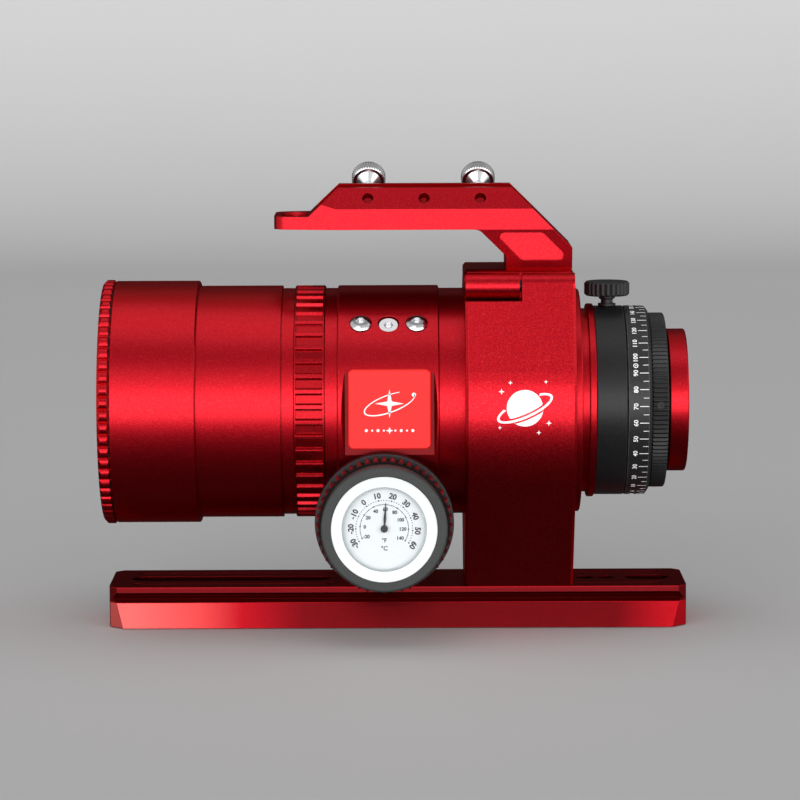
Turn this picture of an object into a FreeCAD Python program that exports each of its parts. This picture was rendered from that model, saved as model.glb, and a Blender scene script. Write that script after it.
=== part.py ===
import FreeCAD, Part
import math
import os

# Compact refracting telescope (astrograph) in a hinged mounting ring on a dovetail bar.
# Millimetres. +X runs from the front cap to the rear cap, +Z is up, and the origin is the
# centre of the dovetail bar's bottom face. The -Y side carries the hinge and thermometer.

V = FreeCAD.Vector

# ---------------------------------------------------------------- driving dimensions
AXIS_Z = 82.0                       # optical axis above the bar's bottom face
GAP = 0.02                          # radial gap, assembled and not moving
RUN = 0.05                          # running clearance
EDGE = 0.4                          # small edge break on the tubes

BAR_HALF_LEN, BAR_HALF_W, BAR_TOP_HALF_W, BAR_H = 107.0, 22.0, 19.5, 15.0

COVER_X0, COVER_X1 = -108.6, -104.7
SHADE_X0, SHADE_X1 = -104.3, -73.0
SHADE_R, SHADE_R_IN = 45.0, 43.25
TUBE_X0, TUBE_X1, GROOVE_X = -81.0, -37.5, -42.0
TUBE_R, PLAIN_R, TUBE_R_IN = 43.1, 42.1, 38.5
LOCK_R_IN = 40.0                    # collar under the ribbed lock ring
LOCK_X1 = -26.2
BODY_X0, BODY_X1 = -21.7, 15.4
BORE_X0, BORE_X1, BORE_R = -15.8, 9.6, 36.0     # bore the lens carriage runs in
CARRIAGE_R = 35.94
REAR_TUBE_R = 42.0
REAR_FIT_R = 36.95                  # parts held inside the rear tube
LENS_R, LENS_SEAT_R = 28.4, 28.5

RING_X0, RING_X1 = 24.8, 64.8
RING_MID = (RING_X0 + RING_X1) / 2
RING_R, RING_R_IN = 50.4, 42.05
RING_TOP = AXIS_Z + RING_R
BAR_BOLT_X = (RING_MID - 10.0, RING_MID + 10.0)
HANDLE_SCREW_X = (46.5, 58.5)

KNOB_X, KNOB_Z = -4.7, 43.0         # focus shaft, parallel to Y
GEAR_MODULE, PINION_TEETH = 0.6, 16
PINION_PITCH_R = GEAR_MODULE * PINION_TEETH / 2
ADDENDUM, DEDENDUM = 0.5, 0.67
PRESSURE_ANGLE = math.radians(20)
GEAR_PITCH = math.pi * GEAR_MODULE
HALF_TOOTH = GEAR_PITCH / 4 - 0.04  # half tooth thickness at the pitch line

parts = {}


# ---------------------------------------------------------------- helpers
def polygon_face(points):
    corners = [V(*point) for point in points]
    return Part.Face(Part.makePolygon(corners + [corners[0]]))


def turn(outline):
    """Closed (x, radius) outline turned about the optical axis."""
    face = polygon_face([(x, 0, AXIS_Z + r) for x, r in outline])
    return face.revolve(V(0, 0, AXIS_Z), V(1, 0, 0), 360)


def turn_shaft(outline):
    """Closed (y, radius) outline turned about the focus shaft."""
    face = polygon_face([(KNOB_X, y, KNOB_Z + r) for y, r in outline])
    return face.revolve(V(KNOB_X, 0, KNOB_Z), V(0, 1, 0), 360)


def tube(x0, x1, outer_r, inner_r, chamfer=0.0):
    """Tube on the optical axis, with an optional chamfer on both outer edges."""
    outline = [(x0, inner_r), (x0, outer_r - chamfer)]
    if chamfer:
        outline += [(x0 + chamfer, outer_r), (x1 - chamfer, outer_r)]
    return turn(outline + [(x1, outer_r - chamfer), (x1, inner_r)])


def box(x0, x1, y0, y1, z0, z1):
    return Part.makeBox(x1 - x0, y1 - y0, z1 - z0, V(x0, y0, z0))


def rod(base, direction, radius, length):
    return Part.makeCylinder(radius, length, V(*base), V(*direction))


def rod_x(x, radius, length):
    """Cylinder on the optical axis."""
    return rod((x, 0, AXIS_Z), (1, 0, 0), radius, length)


def rod_y(y, radius, length):
    """Cylinder on the focus shaft."""
    return rod((KNOB_X, y, KNOB_Z), (0, 1, 0), radius, length)


def rod_z(x, y, z, radius, length):
    return rod((x, y, z), (0, 0, 1), radius, length)


def cone(base, direction, r0, r1, length):
    return Part.makeCone(r0, r1, length, V(*base), V(*direction))


def prism_x(points, x0, x1):
    return polygon_face([(x0, y, z) for y, z in points]).extrude(V(x1 - x0, 0, 0))


def prism_y(points, y0, y1):
    return polygon_face([(x, y0, z) for x, z in points]).extrude(V(0, y1 - y0, 0))


def prism_z(points, z0, z1):
    return polygon_face([(x, y, z0) for x, y in points]).extrude(V(0, 0, z1 - z0))


def prism_along(base, direction, points, length):
    """Extrude an outline from base along a direction that is square to X."""
    across = V(0, -direction.z, direction.y)
    corners = [V(*base) + V(a, 0, 0) + across * b for a, b in points]
    return polygon_face(corners).extrude(direction * length)


def fuse(first, *others):
    return first.fuse(list(others)).removeSplitter()


def moved(points, da, db):
    return [(a + da, b + db) for a, b in points]


def mirrored(side):
    """Outline completed by its mirror image in the first coordinate."""
    return side + [(-a, b) for a, b in reversed(side)]


def arc_points(ca, cb, radius, start, end, steps):
    angles = [math.radians(start + (end - start) * i / steps) for i in range(steps + 1)]
    return [(ca + radius * math.cos(angle), cb + radius * math.sin(angle)) for angle in angles]


def hexagon(across_flats):
    return arc_points(0, 0, across_flats / 2 / math.cos(math.pi / 6), 0, 300, 5)


def toothed(count, root_r, tip_r):
    """Outline with triangular teeth."""
    points = []
    for i in range(2 * count):
        angle = math.pi * i / count
        radius = root_r if i % 2 else tip_r
        points.append((radius * math.sin(angle), radius * math.cos(angle)))
    return points


def lobed(count, low_r, high_r, power, steps=8):
    """Outline with rounded lobes; steps is the number of points per lobe."""
    points = []
    for i in range(count * steps):
        angle = 2 * math.pi * i / (count * steps)
        radius = low_r + (high_r - low_r) * abs(math.cos(count * angle / 2)) ** power
        points.append((radius * math.sin(angle), radius * math.cos(angle)))
    return points


def slot_z(x0, x1, radius, z0, z1):
    """Round-ended slot along X at y = 0."""
    ends = [rod_z(x, 0, z0, radius, z1 - z0) for x in (x0 + radius, x1 - radius)]
    return fuse(box(x0 + radius, x1 - radius, -radius, radius, z0, z1), *ends)


def lens(x0, x1, front_sag, rear_sag):
    """Rim from x0 to x1; a positive sag bulges outward."""
    def surface(x, sag, outward):
        sphere_r = (LENS_R ** 2 + sag ** 2) / (2 * abs(sag))
        mid_sag = sphere_r - math.sqrt(sphere_r ** 2 - LENS_R ** 2 / 4)
        mid_x = x + outward * (sag - math.copysign(mid_sag, sag))
        return V(x + outward * sag, 0, AXIS_Z), V(mid_x, 0, AXIS_Z + LENS_R / 2)

    front_pole, front_mid = surface(x0, front_sag, -1)
    rear_pole, rear_mid = surface(x1, rear_sag, 1)
    front_rim, rear_rim = V(x0, 0, AXIS_Z + LENS_R), V(x1, 0, AXIS_Z + LENS_R)
    edges = [Part.Arc(front_pole, front_mid, front_rim).toShape(),
             Part.makeLine(front_rim, rear_rim),
             Part.Arc(rear_rim, rear_mid, rear_pole).toShape(),
             Part.makeLine(rear_pole, front_pole)]
    return Part.Face(Part.Wire(edges)).revolve(V(0, 0, AXIS_Z), V(1, 0, 0), 360)


def in_plane(edge, axis, value):
    bounds = edge.BoundBox
    ends = getattr(bounds, axis + "Min"), getattr(bounds, axis + "Max")
    return all(abs(end - value) < 1e-4 for end in ends)


def chamfered(shape, size, edges):
    # Guards against the kernel refusing the chamfer; the edges then stay sharp.
    try:
        result = shape.makeChamfer(size, edges)
        if result.isValid() and result.Volume > 0:
            return result
    except Exception:
        pass
    return shape


def socket_screw(x, z, head, shank, key, key_depth):
    """Upright screw at y = 0, head down; head and shank are (radius, length)."""
    screw = fuse(rod_z(x, 0, z, *head), rod_z(x, 0, z + head[1], *shank))
    return screw.cut(prism_z(moved(hexagon(key), x, 0), z - 0.5, z + key_depth))


# ---------------------------------------------------------------- dovetail bar and its bolts
def dovetail_bar():
    # Right half of the section, (y, z)
    section = mirrored([(BAR_HALF_W, 0), (BAR_TOP_HALF_W, 9.2), (17.7, 10.4),
                        (BAR_TOP_HALF_W, 12.9), (BAR_TOP_HALF_W, BAR_H)])
    bar = prism_x(section, -BAR_HALF_LEN, BAR_HALF_LEN)
    # 45 degree plan corners, each eased where it meets the bar's end
    corner_y, beyond_y = 16.4, BAR_HALF_W + 1
    half_plan = mirrored([(BAR_HALF_LEN, corner_y - 1.2),
                          (BAR_HALF_LEN - 0.35, corner_y + 0.45),
                          (BAR_HALF_LEN - (beyond_y - corner_y), beyond_y)])
    plan = half_plan + [(-x, -y) for x, y in half_plan]
    bar = bar.common(prism_z(plan, -1, BAR_H + 1))

    cuts = [slot_z(-99.6, -25.2, 5.0, 9.0, 16.0), slot_z(-97.9, -26.9, 3.3, -1.0, 10.0),
            slot_z(85.3, 101.5, 5.0, 9.0, 16.0), slot_z(87.0, 99.8, 3.3, -1.0, 10.0),
            rod_z(78.0, 0, -1, 3.175, 17.0), rod_z(70.2, 0, -1, 3.3, 17.0)]
    # Shallow grooves in the top face with round holes at their ends
    for y in (-12.3, 12.3):
        for x0, x1 in ((-97.0, -25.0), (66.0, 97.0)):
            cuts.append(box(x0, x1, y - 0.7, y + 0.7, 14.0, 16.0))
        for x in (-97.0, -25.0, 97.0):
            cuts.append(rod_z(x, y, 11.0, 1.6, 6.0))
    for x in BAR_BOLT_X:
        cuts += [rod_z(x, 0, -1, 5.3, 7.2), rod_z(x, 0, 5, 3.3, 12.0)]
    return bar.cut(cuts).removeSplitter()


parts["dovetail_bar"] = dovetail_bar()
parts["bar_bolts"] = Part.makeCompound(
    [socket_screw(x, 0.6, head=(5.0, 5.58), shank=(3.0, 20.0), key=5.0, key_depth=3.0)
     for x in BAR_BOLT_X])

# ---------------------------------------------------------------- mounting ring
HINGE_Y, HINGE_Z, KNUCKLE_R, PIN_R = -33.0, 127.6, 4.8, 2.0
KNUCKLE_X0, KNUCKLE_X1 = 44.5, 45.4     # gap where the two knuckles meet
HINGE_DIST = math.hypot(HINGE_Y, HINGE_Z - AXIS_Z)
# Unit vectors: from the optical axis to the hinge, and square to the split plane
HINGE_DIR = V(0, HINGE_Y / HINGE_DIST, (HINGE_Z - AXIS_Z) / HINGE_DIST)
LIFT_DIR = V(0, HINGE_DIR.z, -HINGE_DIR.y)
CLAMP_A = -58.5                         # clamp screw's place along HINGE_DIR
CLAMP_R = 2.5


def split_point(a, b):
    """(y, z) of the point a along HINGE_DIR and b along LIFT_DIR from the optical axis."""
    point = HINGE_DIR * a + LIFT_DIR * b
    return point.y, AXIS_Z + point.z


def half_space(side):
    """Everything above (side 1) or below (side -1) the split gap."""
    near, far = side * 0.2, side * 300
    corners = [(-300, near), (300, near), (300, far), (-300, far)]
    return prism_x([split_point(a, b) for a, b in corners], 0, 100)


def hinge_rod(x0, x1, radius):
    return rod((x0, HINGE_Y, HINGE_Z), (1, 0, 0), radius, x1 - x0)


def clamp_rod(start, radius, length):
    return rod((RING_MID, *split_point(CLAMP_A, start)), LIFT_DIR, radius, length)


def ring_blank():
    """Solid outside of the closed ring, before boring and splitting."""
    disc = rod_x(RING_X0, RING_R, RING_X1 - RING_X0)
    boss = box(RING_X0, RING_X1, -20, 20, 100, RING_TOP)
    boss = boss.makeFillet(4.0, [e for e in boss.Edges if abs(e.BoundBox.ZMin - RING_TOP) < 1e-4
                                 and e.BoundBox.XLength > 30])
    # Foot with sides tangent to the ring
    foot_w, foot_rise = BAR_TOP_HALF_W - 0.1, AXIS_Z - BAR_H
    foot_dist = math.hypot(foot_w, foot_rise)
    lean = math.asin(RING_R / foot_dist) - math.atan(foot_w / foot_rise)
    side_len = math.sqrt(foot_dist ** 2 - RING_R ** 2)
    foot_y = foot_w + side_len * math.sin(lean)
    foot_z = BAR_H + side_len * math.cos(lean)
    foot = prism_x([(-foot_y, foot_z), (-foot_w, BAR_H), (foot_w, BAR_H), (foot_y, foot_z),
                    (0, AXIS_Z)], RING_X0, RING_X1)
    # -Y wall, tangent to both the ring and the knuckle
    cosine = (RING_R - KNUCKLE_R) / HINGE_DIST
    normal = HINGE_DIR * cosine - LIFT_DIR * math.sqrt(1 - cosine * cosine)
    wall = prism_x([(normal.y * RING_R, AXIS_Z + normal.z * RING_R),
                    (HINGE_Y + normal.y * KNUCKLE_R, HINGE_Z + normal.z * KNUCKLE_R),
                    (HINGE_Y, HINGE_Z), split_point(46, 0),
                    (normal.y * 46, AXIS_Z + normal.z * 46)], RING_X0, RING_X1)
    blank = fuse(disc, boss, foot, wall)
    blank = chamfered(blank, 1.0, [e for e in blank.Edges
                                   if in_plane(e, "X", RING_X0) or in_plane(e, "X", RING_X1)])
    lug_corners = [(-46, 10), (-46, -14), (-66, -14), (-66, 10)]
    lug = prism_x([split_point(a, b) for a, b in lug_corners], RING_MID - 8, RING_MID + 8)
    return fuse(blank, lug)


def bore_cutters():
    lead_in = 0.6
    return [rod_x(RING_X0 - 1, RING_R_IN, RING_X1 - RING_X0 + 2)] + [
        cone((x, 0, AXIS_Z), (sign, 0, 0), RING_R_IN + lead_in, RING_R_IN, lead_in)
        for x, sign in ((RING_X0 - 0.01, 1), (RING_X1 + 0.01, -1))]


def ring_upper(blank):
    above = half_space(1)
    knuckle_x0 = RING_X0 + 0.2
    web = prism_x([(HINGE_Y, HINGE_Z + 4.6), (-21.0, 128.6), (-14.0, 124.0), (-24.0, 116.0),
                   (-31.0, 120.0), (HINGE_Y - 1, HINGE_Z - 3)], knuckle_x0, KNUCKLE_X0)
    arm = fuse(hinge_rod(knuckle_x0, KNUCKLE_X0, KNUCKLE_R), web)
    arm = arm.common(fuse(hinge_rod(RING_X0, KNUCKLE_X0, KNUCKLE_R), above))
    upper = fuse(blank.common(above), arm)
    upper = upper.cut(bore_cutters() + [hinge_rod(KNUCKLE_X0, RING_X1 + 1, KNUCKLE_R + 0.3)])
    upper = upper.cut(hinge_rod(RING_X0 - 1, RING_X1 + 1, PIN_R + RUN))
    upper = upper.cut(clamp_rod(-1, CLAMP_R + RUN, 14))
    upper = upper.cut(clamp_rod(10, 8.8, 16))       # room for the clamp screw's head
    for x in HANDLE_SCREW_X:
        upper = upper.cut([rod_z(x, 0, 118, 3.5, 10.0), rod_z(x, 0, 127, 2.1, 8.0)])
    return upper.removeSplitter()


def ring_base(blank):
    relief_r = KNUCKLE_R + 0.25
    lower = blank.common(half_space(-1)).cut(bore_cutters() + [
        hinge_rod(RING_X0 - 1, KNUCKLE_X1, relief_r),
        box(RING_X0 - 1, KNUCKLE_X1, -60, 0, HINGE_Z - relief_r, 150)])
    lower = fuse(lower, hinge_rod(KNUCKLE_X1, RING_X1 - 0.2, KNUCKLE_R))
    lower = lower.cut(hinge_rod(RING_X0 - 1, RING_X1 + 1, PIN_R + GAP))
    lower = lower.cut(clamp_rod(-16, 3.3, 18))
    for x in BAR_BOLT_X:
        lower = lower.cut(rod_z(x, 0, 14, 3.0 + GAP, 14.0))
    return lower.removeSplitter()


def ring_clamp_screw():
    head_base = (RING_MID, *split_point(CLAMP_A, 10.1))
    head = prism_along(head_base, LIFT_DIR, lobed(10, 7.2, 8.2, 0.6), 9.0)
    return fuse(head, clamp_rod(-10, CLAMP_R, 20.1))


ring = ring_blank()
parts["ring_upper"] = ring_upper(ring)
parts["ring_base"] = ring_base(ring)
parts["hinge_pin"] = hinge_rod(RING_X0 + 0.8, RING_X1 - 0.8, PIN_R)
parts["ring_clamp_screw"] = ring_clamp_screw()

# ---------------------------------------------------------------- carrying handle
HANDLE_HALF_W, HANDLE_TOP_HALF_W = 19.2, 14.8
HANDLE_TOP, TAB_Z0, TAB_Z1 = 162.3, 147.1, 151.8
HANDLE_X0 = -45
FINDER_X = (-10.4, 10.2, 30.8)          # finder holes; screws sit in the first and last
FINDER_Y, FINDER_Z = 16.95, 158.6
FINDER_DIR = V(0, math.cos(math.radians(30)), math.sin(math.radians(30)))

HANDLE_PROFILE = [                      # side view, (x, z)
    (HANDLE_X0, TAB_Z0), (28.7, TAB_Z0), (29.6, 146.95), (30.4, 146.65), (31.2, 146.15),
    (39.4, 138.0), (40.0, 137.2), (40.3, 136.2), (40.3, RING_TOP), (64.5, RING_TOP),
    (64.5, 140.2), (42.4, HANDLE_TOP), (-21.4, HANDLE_TOP), (-32.3, TAB_Z1), (HANDLE_X0, TAB_Z1)]
SIDE_POCKET = [                         # side view, (x, z)
    (39.3, 146), (53.1, 146), (54.0, 145.7), (61.0, 138.7), (61.3, 138.0), (61.2, 136.6),
    (60.5, 135.8), (59.6, 135.7), (46.6, 135.7), (45.4, 136.2), (38.1, 143.6), (37.8, 144.4),
    (38.3, 145.6)]


def handle_plan():
    """Plan outline, tapered 10 degrees a side to a round-cornered front end."""
    taper, taper_x, corner_r = math.radians(10), -22.2, 6.5
    corner_x = HANDLE_X0 + corner_r
    taper_end = taper_x - corner_x + corner_r * math.sin(taper)
    corner_y = HANDLE_HALF_W - taper_end * math.tan(taper) - corner_r * math.cos(taper)
    side = arc_points(corner_x, corner_y, corner_r, 180, 100, 12)
    side += [(taper_x - 16.0, HANDLE_HALF_W - 16.0 * math.tan(taper)),
             (taper_x, HANDLE_HALF_W), (70, HANDLE_HALF_W)]
    return side + [(x, -y) for x, y in reversed(side)]


def handle():
    body = prism_y(HANDLE_PROFILE, -25, 25)
    section = mirrored([(16.0, 130), (16.0, 132.0), (HANDLE_HALF_W, TAB_Z0),
                        (HANDLE_HALF_W, 154.7), (HANDLE_TOP_HALF_W, HANDLE_TOP)])
    body = body.common(prism_x(section, -50, 70))
    body = body.common(prism_z(handle_plan(), 130, 170))
    # Undercut channel along the top
    mouth, floor_z = 10.0, 154.2
    floor_half_w = mouth + (HANDLE_TOP - floor_z) * math.tan(math.radians(30))
    body = body.cut(prism_x(mirrored([(floor_half_w, floor_z), (mouth - 0.6, HANDLE_TOP + 1)]),
                            -50, 70))
    # Round-ended slot across the front tab, its top edge chamfered
    slot_x, slot_r, slot_y = -37.7, 4.5, 6.5
    slot = fuse(box(slot_x - slot_r, slot_x + slot_r, -slot_y, slot_y, 140, 160),
                rod_z(slot_x, -slot_y, 140, slot_r, 20), rod_z(slot_x, slot_y, 140, slot_r, 20))
    body = body.cut(slot)
    rim = [e for e in body.Edges if in_plane(e, "Z", TAB_Z1)
           and e.BoundBox.XMax < -32.5 and e.BoundBox.XMin > -42.6
           and abs(e.BoundBox.YMin) < 12 and abs(e.BoundBox.YMax) < 12]
    body = chamfered(body, 0.8, rim)
    for side in (-1, 1):
        body = body.cut(prism_y(SIDE_POCKET, side * (HANDLE_HALF_W - 3.4),
                                side * (HANDLE_HALF_W + 2)))
    start = V(0, FINDER_Y, FINDER_Z) + FINDER_DIR * 2
    for x in FINDER_X:
        for side in (-1, 1):
            inward = (0, -side * FINDER_DIR.y, -FINDER_DIR.z)
            body = body.cut(rod((x, side * start.y, start.z), inward, 2.1, 7.4))
    for x in HANDLE_SCREW_X:
        body = body.cut(rod_z(x, 0, 132, 2.0 + GAP, 8.5))
    return body.removeSplitter()


def finder_screw(x):
    def at(distance):
        return V(x, FINDER_Y, FINDER_Z) + FINDER_DIR * distance

    head = prism_along(at(7.5), FINDER_DIR, toothed(40, 5.85, 6.36), 4.8)
    head = head.common(fuse(cone(at(7.5), FINDER_DIR, 5.7, 6.4, 0.6),
                            rod(at(8.1), FINDER_DIR, 6.4, 3.6),
                            cone(at(11.7), FINDER_DIR, 6.4, 5.6, 0.6)))
    return fuse(head, cone(at(4.9), FINDER_DIR, 2.05, 4.6, 2.6),
                rod(at(-5.2), FINDER_DIR, 2.05, 13.0))


parts["handle"] = handle()
parts["handle_screws"] = Part.makeCompound(
    [socket_screw(x, 124.5, head=(3.4, 3.48), shank=(2.0, 11.5), key=3.0, key_depth=2.0)
     for x in HANDLE_SCREW_X])
parts["finder_screw_1"] = finder_screw(FINDER_X[0])
parts["finder_screw_2"] = finder_screw(FINDER_X[2])


# ---------------------------------------------------------------- front cap and dew shield
def cap_cover():
    outline = moved(lobed(60, 44.15, 45.4, 0.7), 0, AXIS_Z)
    envelope = turn([(COVER_X0, 0), (COVER_X0, 44.2), (COVER_X0 + 1.2, 45.4),
                     (COVER_X1 - 0.4, 45.4), (COVER_X1, 45.0), (COVER_X1, 0)])
    cover = prism_x(outline, COVER_X0, COVER_X1).common(envelope)
    cover = cover.cut(rod_x(COVER_X0 + 2.0, 40.05, 5))
    return cover.cut(rod_x(COVER_X0 - 1, 38.0, 1.4)).removeSplitter()


def focus_mask():
    """Disc with upright slots on the +Y half and two slanted sets on the -Y half."""
    open_r, bar_half, x0, x1 = 36.0, 2.2, -104, -100
    slots = []
    for i in range(9):
        y = 3.4 + 3.9 * i
        reach = math.sqrt(open_r ** 2 - y * y)
        for z0, z1 in ((-reach, -bar_half), (bar_half, reach)):
            slots.append(box(x0, x1, y - 0.9, y + 0.9, AXIS_Z + z0, AXIS_Z + z1))
    for side, z0, z1 in ((1, 1.2, 40), (-1, -40, -1.2)):
        quadrant = box(x0, x1, -40, -bar_half, AXIS_Z + z0, AXIS_Z + z1)
        for i in range(-1, 8):
            z = side * (7.0 + 4.3 * i)
            slot = box(x0, x1, -60, -bar_half, z - 0.95, z + 0.95)
            slot.rotate(V(0, 0, 0), V(1, 0, 0), -side * 20.0)
            slot.translate(V(0, 0, AXIS_Z))
            slot = slot.common(quadrant).common(rod_x(x0, open_r, x1 - x0))
            if slot.Volume > 8:         # slivers are left out
                slots.append(slot)
    return rod_x(-102.88, 39.15, 1.8).cut(slots)


parts["cap_cover"] = cap_cover()
parts["mask_holder"] = turn([
    (-106.5, 38.0), (-106.5, 40.0), (-104.65, 40.0), (-104.65, 44.0), (SHADE_X0, 44.0),
    (SHADE_X0, 43.2), (-100.3, 43.2), (-100.3, 39.2), (-102.9, 39.2), (-102.9, 38.0)])
parts["focus_mask"] = focus_mask()
parts["dew_shield"] = tube(SHADE_X0, SHADE_X1, SHADE_R, SHADE_R_IN, 0.5).cut(
    tube(-80.0, -75.0, 43.95, 43.0))
parts["shield_felt"] = tube(-79.9, -75.1, 43.9, TUBE_R + RUN)


# ---------------------------------------------------------------- front tube, collar, lock ring
def lock_ring():
    """Grip ring with 48 ribs left between the notches."""
    ring_x0, ring_x1 = TUBE_X1 + 0.06, LOCK_X1 - 0.06
    rib_count, rib_w = 48, 1.3
    half_w = (2 * math.pi * TUBE_R / rib_count - rib_w) / 2
    outline = mirrored([(half_w - 0.7, 42.05), (half_w, TUBE_R), (half_w, 46)])
    notches = []
    for i in range(rib_count):
        notch = prism_x(outline, TUBE_X1 + 0.7, LOCK_X1 - 0.8)
        notch.rotate(V(0, 0, 0), V(1, 0, 0), 360.0 * i / rib_count)
        notch.translate(V(0, 0, AXIS_Z))
        notches.append(notch)
    return tube(ring_x0, ring_x1, TUBE_R, LOCK_R_IN + RUN, 0.3).cut(notches)


COLLAR_R = TUBE_R_IN - GAP              # spigots that fit inside the tubes
parts["front_tube"] = turn([
    (TUBE_X0, TUBE_R_IN), (TUBE_X0, TUBE_R - EDGE), (TUBE_X0 + EDGE, TUBE_R),
    (GROOVE_X - 0.25, TUBE_R), (GROOVE_X - 0.25, TUBE_R - 1.6), (GROOVE_X + 0.2, TUBE_R - 1.6),
    (GROOVE_X + 0.2, PLAIN_R), (TUBE_X1, PLAIN_R), (TUBE_X1, TUBE_R_IN)])
parts["front_collar"] = turn([
    (-48.0, BORE_R), (-48.0, COLLAR_R), (TUBE_X1, COLLAR_R), (TUBE_X1, LOCK_R_IN),
    (LOCK_X1, LOCK_R_IN), (LOCK_X1, PLAIN_R), (BODY_X0, PLAIN_R), (BODY_X0, COLLAR_R),
    (-16.0, COLLAR_R), (-16.0, BORE_R)])
parts["lock_ring"] = lock_ring()

# ---------------------------------------------------------------- focuser body
BADGE_X, BADGE_Z, BADGE_W, BADGE_H = -2.7, 83.9, 30.0, 29.0
BADGE_Y0, BADGE_Y1 = -40.4, -43.9       # flat on the body, badge's outer face
GUIDE_ANGLE = math.radians(47.5)        # guide screws point out on the upper -Y side
GUIDE_DIR = V(0, -math.cos(GUIDE_ANGLE), math.sin(GUIDE_ANGLE))
GUIDE_X, PRELOAD_X = (-13.1, 7.3), -3.0
COVER_SCREWS = [(KNOB_X + dx, y) for dx in (-8.6, 8.6) for y in (-9.0, 9.0)]


def from_axis(x, direction, radius):
    return V(x, 0, AXIS_Z) + direction * radius


def guide_rod(x, start, radius, length):
    return rod(from_axis(x, GUIDE_DIR, start), GUIDE_DIR, radius, length)


def guide_socket(x, start, key):
    return prism_along(from_axis(x, GUIDE_DIR, start), GUIDE_DIR, hexagon(key), 3)


def bore_rod():
    return rod_x(BORE_X0, BORE_R, BORE_X1 - BORE_X0)


def focuser_body():
    barrel = turn([
        (BODY_X0, TUBE_R_IN), (BODY_X0, TUBE_R - EDGE), (BODY_X0 + EDGE, TUBE_R),
        (BODY_X1 - EDGE, TUBE_R), (BODY_X1, TUBE_R - EDGE), (BODY_X1, TUBE_R_IN),
        (BORE_X1, TUBE_R_IN), (BORE_X1, BORE_R), (BORE_X0, BORE_R), (BORE_X0, TUBE_R_IN)])
    housing = box(KNOB_X - 11, KNOB_X + 11, -36, 36, 35, 62).cut(rod_x(BODY_X0, 40.0, 50))
    body = fuse(barrel, housing).cut(bore_rod())
    badge_seat = moved(mirrored([(16.2, BADGE_Y0), (18.6, BADGE_Y0 - 5)]), BADGE_X, 0)
    body = body.cut(prism_z(badge_seat, AXIS_Z - 20, AXIS_Z + 20))
    for x in GUIDE_X:
        body = body.cut([guide_rod(x, 42.3, 4.1, 3), guide_rod(x, 35, 2.0 + GAP, 9)])
    body = body.cut([guide_rod(PRELOAD_X, 39.6, 3.85, 6), guide_rod(PRELOAD_X, 35, 2.0 + GAP, 9),
                     guide_rod(PRELOAD_X, 35, 3.5, 3.2)])
    # Shaft passage, pinion opening and bushing seats
    body = body.cut([rod_y(-40, 2.9, 80),
                     box(KNOB_X - 5.8, KNOB_X + 5.8, -4.3, 4.3, 30, 47.5),
                     rod_y(-37, 4.0 + GAP, 9), rod_y(28, 4.0 + GAP, 9)])
    for x, y in COVER_SCREWS:
        body = body.cut(rod_z(x, y, 34, 1.0 + GAP, 4.6))
    return body.removeSplitter()


def badge():
    corner_r = 2
    outline = []
    for side_x, side_z, start in ((1, 1, 90), (1, -1, 0), (-1, -1, -90), (-1, 1, 180)):
        outline += arc_points(BADGE_X + side_x * (BADGE_W / 2 - corner_r),
                              BADGE_Z + side_z * (BADGE_H / 2 - corner_r),
                              corner_r, start, start - 90, 5)
    plate = prism_y(outline, BADGE_Y0, BADGE_Y1)
    return chamfered(plate, 0.5, [e for e in plate.Edges if in_plane(e, "Y", BADGE_Y1)])


def guide_screw(x):
    dome_r = 5.2
    dome = Part.makeSphere(dome_r, from_axis(x, GUIDE_DIR, 44.9 - dome_r))
    head = guide_rod(x, 42.3, 3.8, 2.4).common(dome).cut(guide_socket(x, 43.3, 2.5))
    return fuse(head, guide_rod(x, 36.5, 2.0, 5.9))


def preload_screw():
    head = guide_rod(PRELOAD_X, 39.62, 3.45, 2.6).cut(guide_socket(PRELOAD_X, 40.6, 3.0))
    return fuse(head, guide_rod(PRELOAD_X, 38.0, 2.0, 1.7))


parts["focuser_body"] = focuser_body()
parts["badge"] = badge()
parts["guide_screws"] = Part.makeCompound([guide_screw(x) for x in GUIDE_X])
parts["preload_screw"] = preload_screw()
parts["guide_pad"] = guide_rod(PRELOAD_X, 35.5, 3.4, 2.45).cut(bore_rod())

# ---------------------------------------------------------------- focus drive
SHAFT_R, FINE_SHAFT_R = 2.5, 1.5
RACK_X0, RACK_X1, RACK_HALF_W, RACK_TOP = KNOB_X - 17.0, KNOB_X + 17.0, 4.0, 51.2
RACK_LAND = 4.2                         # toothless length at each end, holds a screw
RACK_SCREW_X = (RACK_X0 + RACK_LAND / 2, RACK_X1 - RACK_LAND / 2)


def pinion_outline():
    base_r = PINION_PITCH_R * math.cos(PRESSURE_ANGLE)
    tip_r, root_r = PINION_PITCH_R + ADDENDUM, PINION_PITCH_R - DEDENDUM

    def involute(angle):
        return math.tan(angle) - angle

    flank = []                          # (radius, half angle of the tooth)
    for k in range(6):
        radius = base_r + (tip_r - base_r) * k / 5
        roll = math.acos(min(1.0, base_r / radius))
        half = HALF_TOOTH / PINION_PITCH_R + involute(PRESSURE_ANGLE) - involute(roll)
        flank.append((radius, half))
    flank.insert(0, (root_r, flank[0][1]))
    points = []
    for i in range(PINION_TEETH):
        centre = 2 * math.pi * i / PINION_TEETH
        tooth = [(r, centre - a) for r, a in flank] + [(r, centre + a) for r, a in flank[::-1]]
        points += [(r * math.sin(angle), r * math.cos(angle)) for r, angle in tooth]
    return points


def pinion_shaft():
    pinion = prism_y(moved(pinion_outline(), KNOB_X, KNOB_Z), -3.5, 3.5)
    shaft = fuse(rod_y(-55.0, SHAFT_R, 107.0), pinion)
    return shaft.cut(rod_y(30.0, FINE_SHAFT_R + RUN, 30.0))


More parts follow.
